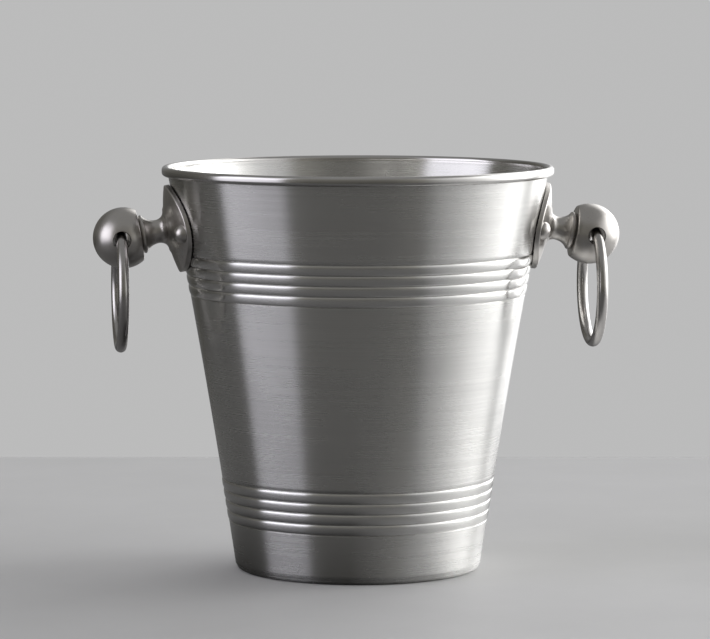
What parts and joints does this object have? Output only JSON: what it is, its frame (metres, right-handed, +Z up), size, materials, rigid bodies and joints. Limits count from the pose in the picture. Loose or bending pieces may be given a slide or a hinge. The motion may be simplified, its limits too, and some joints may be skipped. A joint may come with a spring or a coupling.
{
  "type": "champagne bucket",
  "caption": "Flared brushed metal champagne bucket with ribbed bands, a wired rolled rim, and ball handles on riveted oval plates that carry swinging drop rings.",
  "frame": {"origin": "centre of the foot, on the surface that the bucket stands on", "axes": "+Z up along the bucket's axis, +X through the right handle, -Y towards the front"},
  "size_m": [0.2924, 0.216, 0.223],
  "materials": {
    "brushed_sheet": "fine circumferential brushing, satin",
    "satin_casting": "soft satin, rubbed brighter on edges",
    "ring_bar": "satin, more polished than the castings",
    "rivet_metal": "satin",
    "bead_wire": "drawn wire",
    "plain_stud": "plain turned"
  },
  "bodies": {
    "bucket": {"bucket_shell": "brushed_sheet", "rim_wire": "bead_wire", "left_escutcheon": "satin_casting", "left_ball": "satin_casting", "left_ball_stud": "plain_stud", "left_front_rivet": "rivet_metal", "left_rear_rivet": "rivet_metal", "right_escutcheon": "satin_casting", "right_ball": "satin_casting", "right_ball_stud": "plain_stud", "right_front_rivet": "rivet_metal", "right_rear_rivet": "rivet_metal"},
    "left_ring": {"left_ring": "ring_bar"},
    "right_ring": {"right_ring": "ring_bar"}
  },
  "joints": [
    {"name": "left_ring_swing", "type": "hinge", "parent": "bucket", "child": "left_ring", "pos_m": [-0.13139, 0, 0.18392], "axis": [0, 1, 0], "range_deg": [-39, 209]},
    {"name": "right_ring_swing", "type": "hinge", "parent": "bucket", "child": "right_ring", "pos_m": [0.13139, 0, 0.18392], "axis": [0, -1, 0], "range_deg": [-39, 209]}
  ]
}
